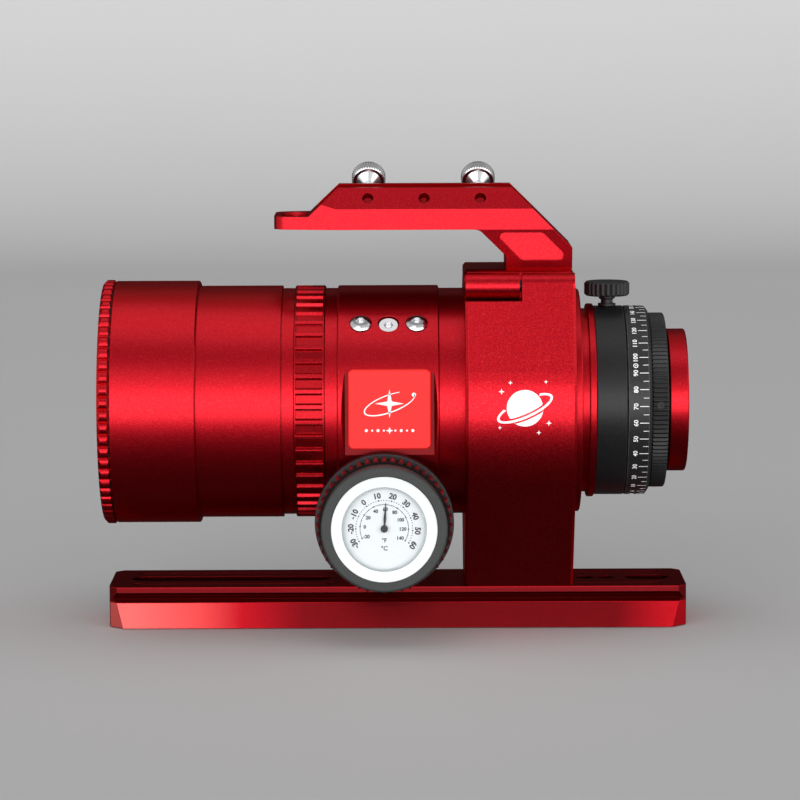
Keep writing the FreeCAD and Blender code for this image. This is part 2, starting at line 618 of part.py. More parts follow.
def shaft_bushing(side):
    inner, shoulder = (KNOB_X, side * 28.0, KNOB_Z), (KNOB_X, side * 36.0, KNOB_Z)
    outward = (0, side, 0)
    bushing = fuse(rod(inner, outward, 4.0, 8.0), rod(shoulder, outward, 5.6, 1.0))
    return bushing.cut(rod(inner, outward, SHAFT_R + RUN, 10.0))


def pinion_cover():
    cover = box(KNOB_X - 10.6, KNOB_X + 10.6, -11.5, 11.5, 33.4, 35.0)
    for x, y in COVER_SCREWS:
        cover = cover.cut(rod_z(x, y, 33, 1.1, 3))
    return cover


def focus_rack():
    pitch_z = KNOB_Z + PINION_PITCH_R
    tip_z, root_z = pitch_z - ADDENDUM, pitch_z + DEDENDUM
    tip_half = HALF_TOOTH - ADDENDUM * math.tan(PRESSURE_ANGLE)
    root_half = HALF_TOOTH + DEDENDUM * math.tan(PRESSURE_ANGLE)
    land_x0, land_x1 = RACK_X0 + RACK_LAND, RACK_X1 - RACK_LAND
    outline = [(RACK_X0, RACK_TOP), (RACK_X0, tip_z), (land_x0, tip_z), (land_x0, root_z)]
    for k in range(-6, 6):              # six teeth each side of the shaft
        x = KNOB_X + (k + 0.5) * GEAR_PITCH
        outline += [(x - root_half, root_z), (x - tip_half, tip_z),
                    (x + tip_half, tip_z), (x + root_half, root_z)]
    outline += [(land_x1, root_z), (land_x1, tip_z), (RACK_X1, tip_z), (RACK_X1, RACK_TOP)]
    rack = prism_y(outline, -RACK_HALF_W, RACK_HALF_W)
    for x in RACK_SCREW_X:
        rack = rack.cut([rod_z(x, 0, 47, 1.05, 5), rod_z(x, 0, 46.9, 1.75, 1.6)])
    return rack


parts["pinion_shaft"] = pinion_shaft()
parts["shaft_bushings"] = Part.makeCompound([shaft_bushing(side) for side in (-1, 1)])
parts["pinion_cover"] = pinion_cover()
parts["pinion_cover_screws"] = Part.makeCompound(
    [fuse(rod_z(x, y, 32.2, 1.9, 1.2), rod_z(x, y, 33.4, 1.0, 4.6)) for x, y in COVER_SCREWS])
parts["focus_rack"] = focus_rack()
parts["rack_screws"] = Part.makeCompound(
    [fuse(rod_z(x, 0, 47.5, 1.7, 1.0), rod_z(x, 0, 48.5, 1.0, 4.2)) for x in RACK_SCREW_X])


# ---------------------------------------------------------------- knobs and thermometer
def knurled(teeth, envelope):
    """Toothed outline along the shaft, trimmed by a turned (y, radius) envelope."""
    blank = prism_y(moved(teeth, KNOB_X, KNOB_Z), envelope[0][0], envelope[-1][0])
    return blank.common(turn_shaft(envelope))


def focus_knob():
    knob = knurled(toothed(48, 23.0, 24.6), [(-56.0, 0), (-56.0, 23.9), (-55.2, 24.7),
                                             (-47.8, 24.7), (-47.0, 24.2), (-47.0, 0)])
    return fuse(knob, rod_y(-47.0, 7.95, 8.5)).cut(rod_y(-55.1, SHAFT_R + GAP, 20))


def bimetal_coil():
    half_thick, turns, steps = 0.15, 3.5, 120
    inner, outer = [], []
    for i in range(steps + 1):
        angle = 2 * math.pi * turns * i / steps
        radius = 1.6 + 2.2 * angle / (2 * math.pi)
        for edge, r in ((inner, radius - half_thick), (outer, radius + half_thick)):
            edge.append((r * math.sin(angle), r * math.cos(angle)))
    return prism_y(moved(inner + outer[::-1], KNOB_X, KNOB_Z), -59.3, -57.3)


def thermometer_needle():
    tilt = math.radians(3.4)
    # (across, along) the needle
    outline = mirrored([(-0.24, 0.8), (-0.46, 3.5), (-0.09, 9.2)])
    turned = [(a * math.cos(tilt) + b * math.sin(tilt), b * math.cos(tilt) - a * math.sin(tilt))
              for a, b in outline]
    return fuse(prism_y(moved(turned, KNOB_X, KNOB_Z), -60.75, -60.45),
                rod_y(-61.2, 1.3, 0.9), rod_y(-60.4, 0.6, 3.2))


def coarse_knob():
    knob = knurled(toothed(48, 21.2, 22.4), [(41.5, 0), (41.5, 21.6), (42.4, 22.5),
                                             (54.7, 22.5), (55.6, 21.6), (55.6, 0)])
    return fuse(knob, rod_y(38.5, 7.95, 3.0)).cut([rod_y(38, SHAFT_R + GAP, 14.05),
                                                   rod_y(50, 1.7, 10)])


def fine_knob():
    knob = knurled(toothed(40, 11.9, 12.6), [(56.2, 0), (56.2, 12.2), (56.8, 12.7),
                                             (65.4, 12.7), (66.0, 12.1), (66.0, 0)])
    return knob.cut(rod_y(56, FINE_SHAFT_R + GAP, 7.5))


# -Y side
parts["knob_rear_ring"] = turn_shaft([
    (-47.0, 8.0), (-47.0, 25.0), (-46.6, 25.2), (-42.0, 25.2), (-41.5, 24.7), (-41.5, 8.0)])
parts["focus_knob"] = focus_knob()
parts["knob_front_ring"] = turn_shaft([
    (-63.1, 19.12), (-63.5, 19.5), (-63.5, 21.9), (-63.2, 22.4), (-62.7, 22.7), (-56.0, 22.7),
    (-56.0, 19.12)])
parts["thermometer_case"] = turn_shaft([
    (-56.05, 0), (-56.05, 19.07), (-61.5, 19.07), (-61.5, 18.0), (-57.1, 18.0), (-57.1, 0)])
parts["thermometer_bezel"] = turn_shaft([
    (-61.52, 16.3), (-61.52, 19.07), (-62.9, 19.07), (-63.1, 18.7), (-62.5, 15.3),
    (-62.32, 15.3), (-62.32, 16.3)])
parts["thermometer_glass"] = turn_shaft([(-61.5, 0), (-61.5, 16.25), (-62.3, 16.25), (-62.3, 0)])
parts["thermometer_dial"] = turn_shaft([
    (-59.5, 0.7), (-59.5, 17.95), (-60.0, 17.95), (-60.0, 0.7)])
parts["bimetal_coil"] = bimetal_coil()
parts["thermometer_needle"] = thermometer_needle()
# +Y side
parts["coarse_knob"] = coarse_knob()
parts["fine_knob"] = fine_knob()
parts["fine_shaft"] = rod_y(34.0, FINE_SHAFT_R, 29.4)


# ---------------------------------------------------------------- carriage, front lens group
def lens_carriage():
    carriage = tube(-56.0, 24.0, CARRIAGE_R, 29.0)
    rack_y = RACK_HALF_W + 0.05
    cuts = [box(RACK_X0 - 0.05, RACK_X1 + 0.05, -rack_y, rack_y, 40, RACK_TOP + GAP)]
    cuts += [rod_z(x, 0, 50, 1.0 + GAP, 4) for x in RACK_SCREW_X]
    return carriage.cut(cuts).cut(tube(-54.0, -52.0, 31.0, 28.0))


parts["lens_carriage"] = lens_carriage()
parts["front_cell"] = turn([
    (-74.0, LENS_SEAT_R), (-74.0, 38.0), (-56.02, 38.0), (-56.02, 25.7), (-61.4, 25.7),
    (-61.4, LENS_SEAT_R)])
parts["lens_1"] = lens(-70.6, -66.6, 2.4, 1.4)
parts["lens_spacer"] = tube(-66.4, -64.6, LENS_R, 26.6)
parts["lens_2"] = lens(-64.4, -61.6, -1.2, -0.4)
parts["lens_retainer"] = tube(-73.4, -71.0, LENS_R, 26.4)

# ---------------------------------------------------------------- rear tube, rear lens group
parts["rear_tube"] = turn([
    (9.8, 36.3), (9.8, COLLAR_R), (BODY_X1, COLLAR_R), (BODY_X1, REAR_TUBE_R),
    (RING_X1, REAR_TUBE_R), (RING_X1, 37.0), (20.0, 37.0), (20.0, 36.3)])
parts["rear_baffle"] = turn([
    (33.0, REAR_FIT_R), (37.0, REAR_FIT_R), (37.0, 35.5), (34.4, 35.5), (34.4, 26.0),
    (33.0, 26.0)])
parts["rear_cell"] = turn([
    (43.0, LENS_SEAT_R), (43.0, REAR_FIT_R), (57.6, REAR_FIT_R), (57.6, 26.0), (55.6, 26.0),
    (55.6, LENS_SEAT_R)])
parts["rear_lens_a"] = lens(46.4, 49.6, 2.0, -0.8)
parts["rear_lens_b"] = lens(51.2, 55.4, 1.0, 0.6)
parts["rear_retainer"] = tube(43.6, 45.6, LENS_R, 26.4)
parts["rear_flange"] = turn([
    (58.0, 31.0), (58.0, REAR_FIT_R), (RING_X1, REAR_FIT_R), (RING_X1, 41.1), (65.2, 41.5),
    (67.1, 41.5), (67.5, 41.1), (67.5, 34.2), (70.3, 34.2), (70.3, 35.7), (70.6, 36.0),
    (72.5, 36.0), (72.8, 35.7), (72.8, 31.0)])

# ---------------------------------------------------------------- rotator, adapter, rear cap
LOCK_SCREW_X = 78.1
ADAPTER_R = 27.5                        # rotator's bore, takes the adapter's spigot
NOSE_R = 24.0
GRUB_X, GRUB_R = 96.2, 1.25
GRUB_DIR = V(0, -math.cos(math.radians(3)), math.sin(math.radians(3)))


def rotator_base():
    base = turn([
        (66.0, ADAPTER_R), (66.0, 31.0 - GAP), (72.8, 31.0 - GAP), (72.8, 34.9), (73.1, 35.2),
        (83.7, 35.2), (84.0, 34.9), (84.0, 31.05), (75.0, 31.05), (75.0, ADAPTER_R)])
    return base.cut(rod_z(LOCK_SCREW_X, 0, 100, 2.0 + RUN, 30))


def rotator_lock_screw():
    def at(z):
        return LOCK_SCREW_X, 0, z

    up, head_z, head_r = (0, 0, 1), 121.15, 8.4
    shank = fuse(cone(at(111.9), up, 0.7, 2.0, 1.25), rod(at(113.15), up, 2.0, 4.2),
                 rod(at(117.3), up, 3.3, 0.9), rod(at(118.2), up, 2.2, 1.6),
                 cone(at(119.8), up, 2.6, 3.0, 0.4), rod(at(120.2), up, 3.0, 0.95))
    head = prism_z(moved(lobed(24, 7.7, head_r, 0.7, 6), LOCK_SCREW_X, 0), head_z, 126.4)
    envelope = cone(at(head_z), up, 7.7, head_r, 0.7).fuse(
        [rod(at(121.85), up, head_r, 3.85), cone(at(125.7), up, head_r, 7.7, 0.7)])
    return fuse(shank, head.common(envelope))


def camera_adapter():
    x0, x1 = 93.3, 99.1
    rim = prism_x(moved(toothed(120, 32.0, 32.5), 0, AXIS_Z), x0, x1)
    rim = rim.common(turn([(x0, 0), (x0, 32.0), (x0 + 0.5, 32.6), (x1 - 0.5, 32.6),
                           (x1, 32.0), (x1, 0)]))
    adapter = fuse(rim, rod_x(88.0, ADAPTER_R - GAP, 5.4), rod_x(x1, NOSE_R, 5.4))
    adapter = adapter.cut(rod_x(80, 22.0, 30))
    return adapter.cut(rod(from_axis(GRUB_X, GRUB_DIR, 27), GRUB_DIR, GRUB_R + GAP, 8))


def adapter_grub_screw():
    screw = rod(from_axis(GRUB_X, GRUB_DIR, 28), GRUB_DIR, GRUB_R, 3.9)
    return screw.cut(prism_along(from_axis(GRUB_X, GRUB_DIR, 30.5), GRUB_DIR, hexagon(1.3), 3))


parts["rotator_base"] = rotator_base()
parts["rotator_scale"] = turn([
    (75.2, ADAPTER_R), (75.2, 31.0), (LOCK_SCREW_X - 2.2, 31.0), (LOCK_SCREW_X - 0.8, 29.6),
    (LOCK_SCREW_X + 0.8, 29.6), (LOCK_SCREW_X + 2.2, 31.0), (84.25, 31.0), (84.25, 35.0),
    (84.45, 35.2), (91.8, 35.2), (93.0, 33.5), (93.0, ADAPTER_R)])
parts["rotator_lock_screw"] = rotator_lock_screw()
parts["camera_adapter"] = camera_adapter()
parts["adapter_grub_screw"] = adapter_grub_screw()
parts["rear_cap"] = turn([
    (100.0, NOSE_R + RUN), (100.0, 26.1), (100.4, 26.5), (106.55, 26.5), (107.0, 26.05),
    (107.0, 0), (105.0, 0), (105.0, NOSE_R + RUN)])

# ---------------------------------------------------------------- write
os.makedirs("parts", exist_ok=True)
for name, shape in parts.items():
    solids = shape.Solids
    piece = solids[0] if len(solids) == 1 else Part.makeCompound(solids)
    piece.exportStep("parts/%s.step" % name)
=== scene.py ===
"""A small red anodised refractor telescope on its dovetail bar.

The optical axis runs along X at height AXIS_Z, the bar rests on the floor at z = 0, and the
near side, which the camera sees, faces -Y.
"""
import bpy, bmesh, math
from mathutils import Vector, Matrix


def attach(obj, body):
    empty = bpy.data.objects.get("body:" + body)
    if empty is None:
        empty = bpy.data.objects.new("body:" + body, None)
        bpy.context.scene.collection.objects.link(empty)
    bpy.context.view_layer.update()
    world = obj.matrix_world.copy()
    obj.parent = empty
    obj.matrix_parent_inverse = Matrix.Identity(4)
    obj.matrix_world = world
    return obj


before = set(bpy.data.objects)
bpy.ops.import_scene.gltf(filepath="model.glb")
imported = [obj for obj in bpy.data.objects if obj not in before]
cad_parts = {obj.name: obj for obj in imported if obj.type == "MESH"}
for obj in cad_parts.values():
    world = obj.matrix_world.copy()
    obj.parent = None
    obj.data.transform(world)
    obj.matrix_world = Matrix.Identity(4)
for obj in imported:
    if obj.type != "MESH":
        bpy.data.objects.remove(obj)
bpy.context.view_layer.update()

MM = 0.001
AXIS_Z = 0.082                     # optical axis height, metres
SHAFT_X, SHAFT_Z = -0.0047, 0.043  # focus shaft, which runs along Y, metres
BADGE_X, BADGE_Y, BADGE_Z = -2.7, -43.9, 83.9  # badge centre on its near face, mm


# ------------------------------------------------------------------ shader node helpers
class Graph:
    """Adds nodes to one tree. Values may be sockets, numbers or RGB tuples."""

    def __init__(self, tree, output_kind=None, shader_kind=None):
        """With the two kinds given, empties the tree and starts it from a shader and output."""
        self.tree = tree
        if output_kind:
            for old in list(tree.nodes):
                tree.nodes.remove(old)
            output = self.add(output_kind)
            self.shader = self.add(shader_kind)
            self.feed(output.inputs[0], self.shader.outputs[0])

    def add(self, kind):
        return self.tree.nodes.new("ShaderNode" + kind)

    def feed(self, socket, value):
        if isinstance(value, bpy.types.NodeSocket):
            self.tree.links.new(value, socket)
        elif isinstance(value, tuple):
            socket.default_value = value + (1.0,)
        else:
            socket.default_value = value

    def fill(self, node, values):
        for name, value in values.items():
            self.feed(node.inputs[name], value)

    def math(self, operation, a, b=None, clamp=False):
        node = self.add("Math")
        node.operation = operation
        node.use_clamp = clamp
        self.feed(node.inputs[0], a)
        if b is not None:
            self.feed(node.inputs[1], b)
        return node.outputs[0]

    def times(self, a, b):
        return self.math("MULTIPLY", a, b)

    def plus(self, a, b):
        return self.math("ADD", a, b)

    def hypot(self, a, b):
        return self.math("SQRT", self.plus(self.times(a, a), self.times(b, b)))

    def mix(self, factor, a, b, mode="MIX"):
        node = self.add("Mix")
        node.data_type = "RGBA"
        node.blend_type = mode
        node.clamp_factor = True
        for index, value in ((0, factor), (6, a), (7, b)):
            self.feed(node.inputs[index], value)
        return node.outputs[2]

    def multiply_colour(self, a, b):
        return self.mix(1.0, a, b, "MULTIPLY")

    def ramp(self, factor, stops):
        """Stops are (position, grey level or RGB)."""
        node = self.add("ValToRGB")
        elements = node.color_ramp.elements
        while len(elements) < len(stops):
            elements.new(0.5)
        for element, (position, colour) in zip(elements, stops):
            element.position = position
            rgb = colour if isinstance(colour, tuple) else (colour,) * 3
            element.color = rgb + (1.0,)
        self.feed(node.inputs[0], factor)
        return node.outputs[0]

    def map_range(self, value, low, high, to_low=0.0, to_high=1.0, smooth=False):
        node = self.add("MapRange")
        if smooth:
            node.interpolation_type = "SMOOTHSTEP"
        self.fill(node, {"From Min": low, "From Max": high,
                         "To Min": to_low, "To Max": to_high, "Value": value})
        return node.outputs[0]

    def position(self, scale=(1, 1, 1)):
        """Object coordinates through a mapping node."""
        coordinates = self.add("TexCoord")
        mapping = self.add("Mapping")
        mapping.inputs["Scale"].default_value = scale
        self.feed(mapping.inputs[0], coordinates.outputs["Object"])
        return mapping.outputs[0]

    def noise(self, vector, scale, detail=2.0, rough=0.5):
        node = self.add("TexNoise")
        self.fill(node, {"Scale": scale, "Detail": detail, "Roughness": rough, "Vector": vector})
        return node.outputs[0]

    def xyz(self, kind, output):
        """The three parts of a vector output of a new node of this kind."""
        source = self.add(kind).outputs[output]
        separate = self.add("SeparateXYZ")
        self.feed(separate.inputs[0], source)
        return tuple(separate.outputs)

    def object_xyz(self):
        return self.xyz("TexCoord", "Object")

    def normal_xyz(self):
        return self.xyz("NewGeometry", "True Normal")

    def shaft_radius(self):
        """Distance from the focus shaft's centre line."""
        x, _, z = self.object_xyz()
        dx = self.math("SUBTRACT", x, SHAFT_X)
        dz = self.math("SUBTRACT", z, SHAFT_Z)
        return self.hypot(dx, dz)

    def edge_mask(self, radius):
        """Bright where the surface turns sharply within the radius, and the rounded normal."""
        bevel = self.add("Bevel")
        bevel.samples = 4
        bevel.inputs["Radius"].default_value = radius
        geometry = self.add("NewGeometry")
        dot = self.add("VectorMath")
        dot.operation = "DOT_PRODUCT"
        self.feed(dot.inputs[0], bevel.outputs[0])
        self.feed(dot.inputs[1], geometry.outputs["Normal"])
        turn = self.math("SUBTRACT", 1.0, dot.outputs["Value"])
        return self.map_range(turn, low=0.02, high=0.25), bevel.outputs[0]

    def bump(self, height, strength, normal=None):
        node = self.add("Bump")
        self.fill(node, {"Strength": strength, "Distance": 0.00002, "Height": height})
        if normal is not None:
            self.feed(node.inputs["Normal"], normal)
        return node.outputs[0]


def new_material(name):
    material = bpy.data.materials.new(name)
    material.use_nodes = True
    graph = Graph(material.node_tree, "OutputMaterial", "BsdfPrincipled")
    return material, graph, graph.shader


# ------------------------------------------------------------------ material kinds
def anodised(name, base, dark, light, rough, grain, grain_scale=9000.0, metal=1.0, spec=0.5,
             tint=None, coat=0.0, pepper=0.0, edge=0.00025, edge_highlight_and_wear=0.75, bump=0.3, brushed=None):
    """Dyed aluminium: satin blasted grain, faint cloudy dye variation, and lighter edges that
    are partly wear and partly painted highlight.

    grain and pepper are the amounts of light and dark specks, edge is the width of the lighter
    edges in metres, edge_highlight_and_wear their amount, and brushed the noise scale of the
    brush lines along X, Y, Z.
    """
    material, graph, shader = new_material(name)
    position = graph.position()
    cloud = graph.noise(position, scale=34.0, detail=4.0, rough=0.55)
    fine = graph.noise(position, scale=grain_scale, detail=1.0)
    medium = graph.noise(position, scale=grain_scale * 0.3, rough=0.6)

    colour = graph.mix(cloud, dark, base)
    specks = graph.ramp(fine, [(0.56, 0.0), (0.72, 1.0)])
    colour = graph.mix(graph.times(specks, grain), colour, light)
    if pepper:
        pits = graph.ramp(fine, [(0.30, 1.0), (0.50, 0.0)])
        pit_colour = tuple(channel * 0.25 for channel in dark)
        colour = graph.mix(graph.times(pits, pepper), colour, pit_colour)
    # lighter edges, partly wear and partly painted highlight where light would catch them
    sharp, rounded_normal = graph.edge_mask(edge)
    patches = graph.noise(position, scale=260.0, detail=3.0, rough=0.6)
    wear_and_highlight_mask = graph.times(sharp, graph.ramp(patches, [(0.35, 0.35), (0.65, 1.0)]))
    colour = graph.mix(graph.times(wear_and_highlight_mask, edge_highlight_and_wear), colour, light)

    # roughness varies a little with the grain and the cloud
    roughness = graph.plus(rough - 0.05, graph.times(medium, 0.10))
    roughness = graph.plus(roughness, graph.times(cloud, 0.03))
    height = fine
    if brushed:
        lines = graph.noise(graph.position(brushed), scale=1.0, detail=3.0, rough=0.6)
        height = graph.plus(graph.times(lines, 1.6), fine)
    graph.fill(shader, {
        "Base Color": colour, "Metallic": metal, "Roughness": roughness,
        "Specular IOR Level": spec, "Normal": graph.bump(height, bump, rounded_normal)})
    if tint:
        graph.fill(shader, {"Specular Tint": tint})
    if coat:
        graph.fill(shader, {"Coat Weight": coat, "Coat Roughness": 0.25})
    return material


def paint(name, base, rough, variation):
    """Matt paint or ink with a slight mottle."""
    material, graph, shader = new_material(name)
    mottle = graph.noise(graph.position(), scale=1800.0)
    dark = tuple(channel * (1 - variation * 2) for channel in base)
    graph.fill(shader, {"Base Color": graph.mix(mottle, dark, base), "Roughness": rough,
                        "Normal": graph.bump(mottle, strength=0.1)})
    return material


def clear_glass(name, tint, rough):
    material, graph, shader = new_material(name)
    cloud = graph.noise(graph.position(), scale=90.0)
    pale = tuple(min(1, channel * 1.03) for channel in tint)
    graph.fill(shader, {
        "Base Color": graph.mix(cloud, tint, pale),
        "Roughness": graph.plus(rough, graph.times(cloud, 0.015)),
        "IOR": 1.5, "Transmission Weight": 1.0})
    return material


def dial_glass():
    """Nearly clear disc: a little green towards its rim, more reflective at a slant."""
    material, graph, shader = new_material("instrument_glass")
    rim = graph.map_range(graph.shaft_radius(), low=0.0138, high=0.0160, smooth=True)
    colour = graph.mix(rim, (0.05, 0.05, 0.05), (0.50, 0.66, 0.62))
    slant = graph.add("LayerWeight")
    slant.inputs[0].default_value = 0.12
    # opacity: a share from the slant, a share from the rim and a faint base
    alpha = graph.plus(graph.times(slant.outputs[0], 0.5), graph.times(rim, 0.34))
    alpha = graph.math("ADD", alpha, 0.015, clamp=True)
    graph.fill(shader, {"Base Color": colour, "Alpha": alpha, "Roughness": 0.06})
    return material


def knurl():
    """Knurled grip: red on the tooth tips, with painted shade making the roots and the near end
    face black.
    """
    material, graph, shader = new_material("red_knurl")
    # painted shade: black in the tooth roots and on the near end face, red only on the tips
    tips = graph.map_range(graph.shaft_radius(), low=0.0233, high=0.0244, smooth=True)
    _, normal_y, _ = graph.normal_xyz()
    near_face_shade = graph.map_range(graph.times(normal_y, -1.0), low=0.5, high=0.9,
                               to_low=1.0, to_high=0.12)
    specks = graph.noise(graph.position(), scale=1900.0)
    red = graph.times(tips, near_face_shade)
    # the specks vary the red from 0.55 to 1.45 of its strength
    strength = graph.plus(0.55, graph.times(specks, 0.9))
    red = graph.math("MULTIPLY", red, strength, clamp=True)
    graph.fill(shader, {
        "Base Color": graph.mix(red, (0.006, 0.004, 0.004), (0.45, 0.010, 0.018)),
        "Metallic": 0.9, "Roughness": 0.36, "Normal": graph.bump(specks, strength=0.4)})
    return material


# ------------------------------------------------------------------ local darker dye
def recolour(material, change):
    """Replaces the base colour by change(graph, the present colour)."""
    graph = Graph(material.node_tree)
    shader = next(n for n in graph.tree.nodes if n.type == "BSDF_PRINCIPLED")
    base = shader.inputs["Base Color"]
    graph.feed(base, change(graph, base.links[0].from_socket))


def deepen_recesses(graph, colour):
    """Painted shade on the floor of the recesses between the ribs."""
    floor_radius = 42.35 * MM
    # painted shade: the recess floor is darkened as if in shadow
    shade = (0.76, 0.456, 0.532)
    _, y, z = graph.object_xyz()
    radius = graph.hypot(y, graph.math("SUBTRACT", z, AXIS_Z))
    deep = graph.math("LESS_THAN", radius, floor_radius)
    return graph.mix(deep, colour, graph.multiply_colour(colour, shade))


def shade_bar(graph, colour):
    """Painted shade in the bar's side groove and on the lip above it, and a painted reflection
    on its slope.
    """
    span = 15.0                        # height covered by the ramp, mm
    groove_low, groove_high = 9.3, 14.55   # mm
    groove_level, lip_level = 0.20, 0.4
    side_normal = 0.4                  # least sideways part of a side face's normal
    slope_top = 0.0091
    half_length = 107 * MM

    x, _, z = graph.object_xyz()
    # painted shade: darker in the side groove and on the lip above it
    band = graph.ramp(graph.math("DIVIDE", z, span * MM), [
        (groove_low / span - 0.01, 1.0), (groove_low / span + 0.01, groove_level),
        (groove_high / span - 0.01, groove_level), (groove_high / span + 0.015, lip_level)])
    _, normal_y, _ = graph.normal_xyz()
    side = graph.math("GREATER_THAN", graph.math("ABSOLUTE", normal_y), side_normal)
    shade = graph.mix(side, (1.0, 1.0, 1.0), band)
    colour = graph.multiply_colour(colour, shade)

    # painted reflection on the near slope: pale at the -X end, deep red along the middle
    near = graph.math("LESS_THAN", normal_y, -side_normal)
    slope = graph.times(near, graph.math("LESS_THAN", z, slope_top))
    along = graph.math("DIVIDE", graph.plus(x, half_length), 2 * half_length)
    deep = graph.ramp(along, [
        (0.16, 1.0), (0.34, (0.30, 0.10, 0.25)), (0.50, (0.22, 0.08, 0.16)),
        (0.88, (0.27, 0.08, 0.20)), (0.97, (0.85, 0.75, 0.75))])
    colour = graph.multiply_colour(colour, graph.mix(slope, (1.0, 1.0, 1.0), deep))
    # painted highlight: a pale streak towards the -X end of the slope
    pale = graph.ramp(along, [(0.04, 0.30), (0.16, 0.13), (0.23, 0.0)])
    return graph.mix(graph.times(slope, pale), colour, (0.98, 0.32, 0.28))


def darken_flat(graph, colour):
    """The milled flat round the badge, made darker than the turned body."""
    half_length, half_height = 16.4, 21.0  # mm
    facing_near = -0.9995                  # the flat's normal points along -Y
    shade = (0.26, 0.182, 0.182)
    x, _, z = graph.object_xyz()
    _, normal_y, _ = graph.normal_xyz()
    inside = graph.math("LESS_THAN", normal_y, facing_near)
    for limit, comparison in ((BADGE_X - half_length, "GREATER_THAN"),
                              (BADGE_X + half_length, "LESS_THAN")):
        inside = graph.times(inside, graph.math(comparison, x, limit * MM))
    height = graph.math("ABSOLUTE", graph.math("SUBTRACT", z, AXIS_Z))
    inside = graph.times(inside, graph.math("LESS_THAN", height, half_height * MM))
    return graph.mix(inside, colour, graph.multiply_colour(colour, shade))


# ------------------------------------------------------------------ the materials
RED_DYE = dict(base=(0.54, 0.0040, 0.0140), dark=(0.47, 0.0030, 0.0110),
               light=(0.80, 0.060, 0.050), tint=(0.46, 0.085, 0.085))
SATIN = dict(rough=0.34, grain=0.22, grain_scale=2300.0, bump=0.5, coat=0.19, pepper=0.25)
DULL = dict(metal=0.0, grain_scale=2700.0)

RED_FINISHES = {
    "red_anodised": SATIN,
    "red_ribbed": dict(rough=0.27, grain=0.18, grain_scale=2300.0, bump=0.5, coat=0.19,
                       pepper=0.2, edge=0.0006, edge_highlight_and_wear=0.25),
    "red_bead_blasted": dict(rough=0.31, grain=0.28, grain_scale=2200.0, bump=0.8, coat=0.17,
                             pepper=0.42),
    "red_brushed": dict(rough=0.21, grain=0.12, grain_scale=2700.0, brushed=(30, 3200, 3200),
                        bump=0.3, coat=0.10),
    "red_anodised_body": SATIN,
}
OTHER_FINISHES = {
    "black_anodised": dict(
        base=(0.011, 0.011, 0.012), dark=(0.007, 0.007, 0.008), light=(0.13, 0.13, 0.135),
        rough=0.36, grain=0.10, spec=0.30, **DULL),
    # pale grey edges on the turned ring's chamfers: partly wear, partly painted highlight
    "black_anodised_turned": dict(
        base=(0.016, 0.016, 0.017), dark=(0.010, 0.010, 0.011), light=(0.42, 0.43, 0.44),
        rough=0.36, grain=0.05, spec=0.36, edge=0.0004, **DULL),
    "grey_anodised": dict(
        base=(0.042, 0.044, 0.043), dark=(0.034, 0.036, 0.036), light=(0.16, 0.16, 0.16),
        rough=0.5, grain=0.12, spec=0.3, **DULL),
    "polished_screw": dict(
        base=(0.60, 0.60, 0.61), dark=(0.50, 0.50, 0.52), light=(0.90, 0.90, 0.90),
        rough=0.15, grain=0.03, bump=0.06),
    "turned_steel": dict(
        base=(0.72, 0.72, 0.73), dark=(0.60, 0.60, 0.62), light=(0.92, 0.92, 0.92),
        rough=0.2, grain=0.05, bump=0.1),
    "bronze": dict(
        base=(0.62, 0.42, 0.22), dark=(0.5, 0.33, 0.17), light=(0.8, 0.6, 0.4),
        rough=0.3, grain=0.08, bump=0.2),
    "badge_matte_red": dict(
        base=(0.84, 0.014, 0.013), dark=(0.79, 0.011, 0.011), light=(0.98, 0.08, 0.06),
        rough=0.48, grain=0.16, grain_scale=2300.0, metal=0.0, spec=0.33),
    "black_felt": dict(
        base=(0.02, 0.02, 0.02), dark=(0.01, 0.01, 0.01), light=(0.05, 0.05, 0.05),
        rough=0.95, grain=0.5, grain_scale=3000, metal=0.0, bump=1.0),
    "needle_black": dict(
        base=(0.02, 0.02, 0.02), dark=(0.015, 0.015, 0.015), light=(0.08, 0.08, 0.08),
        rough=0.45, grain=0.1, metal=0.0),
}
PAINTS = {
    "dial_white": dict(base=(0.83, 0.87, 0.90), rough=0.45, variation=0.015),
    "bezel_white": dict(base=(0.84, 0.87, 0.885), rough=0.38, variation=0.01),
    "printed_white": dict(base=(0.90, 0.90, 0.90), rough=0.5, variation=0.02),
    "printed_grey": dict(base=(0.09, 0.09, 0.10), rough=0.5, variation=0.02),
    "printed_black": dict(base=(0.03, 0.03, 0.035), rough=0.5, variation=0.02),
}

materials = {}
for name, finish in RED_FINISHES.items():
    materials[name] = anodised(name, **RED_DYE, **finish)
recolour(materials["red_ribbed"], deepen_recesses)
recolour(materials["red_brushed"], shade_bar)
recolour(materials["red_anodised_body"], darken_flat)
for name, finish in OTHER_FINISHES.items():
    materials[name] = anodised(name, **finish)
for name, finish in PAINTS.items():
    materials[name] = paint(name, **finish)
materials["instrument_glass"] = dial_glass()
materials["red_knurl"] = knurl()
for name, tint, rough in (("optical_glass", (0.90, 0.97, 0.95), 0.02),
                          ("clear_acrylic", (0.93, 0.96, 0.97), 0.06)):
    materials[name] = clear_glass(name, tint=tint, rough=rough)

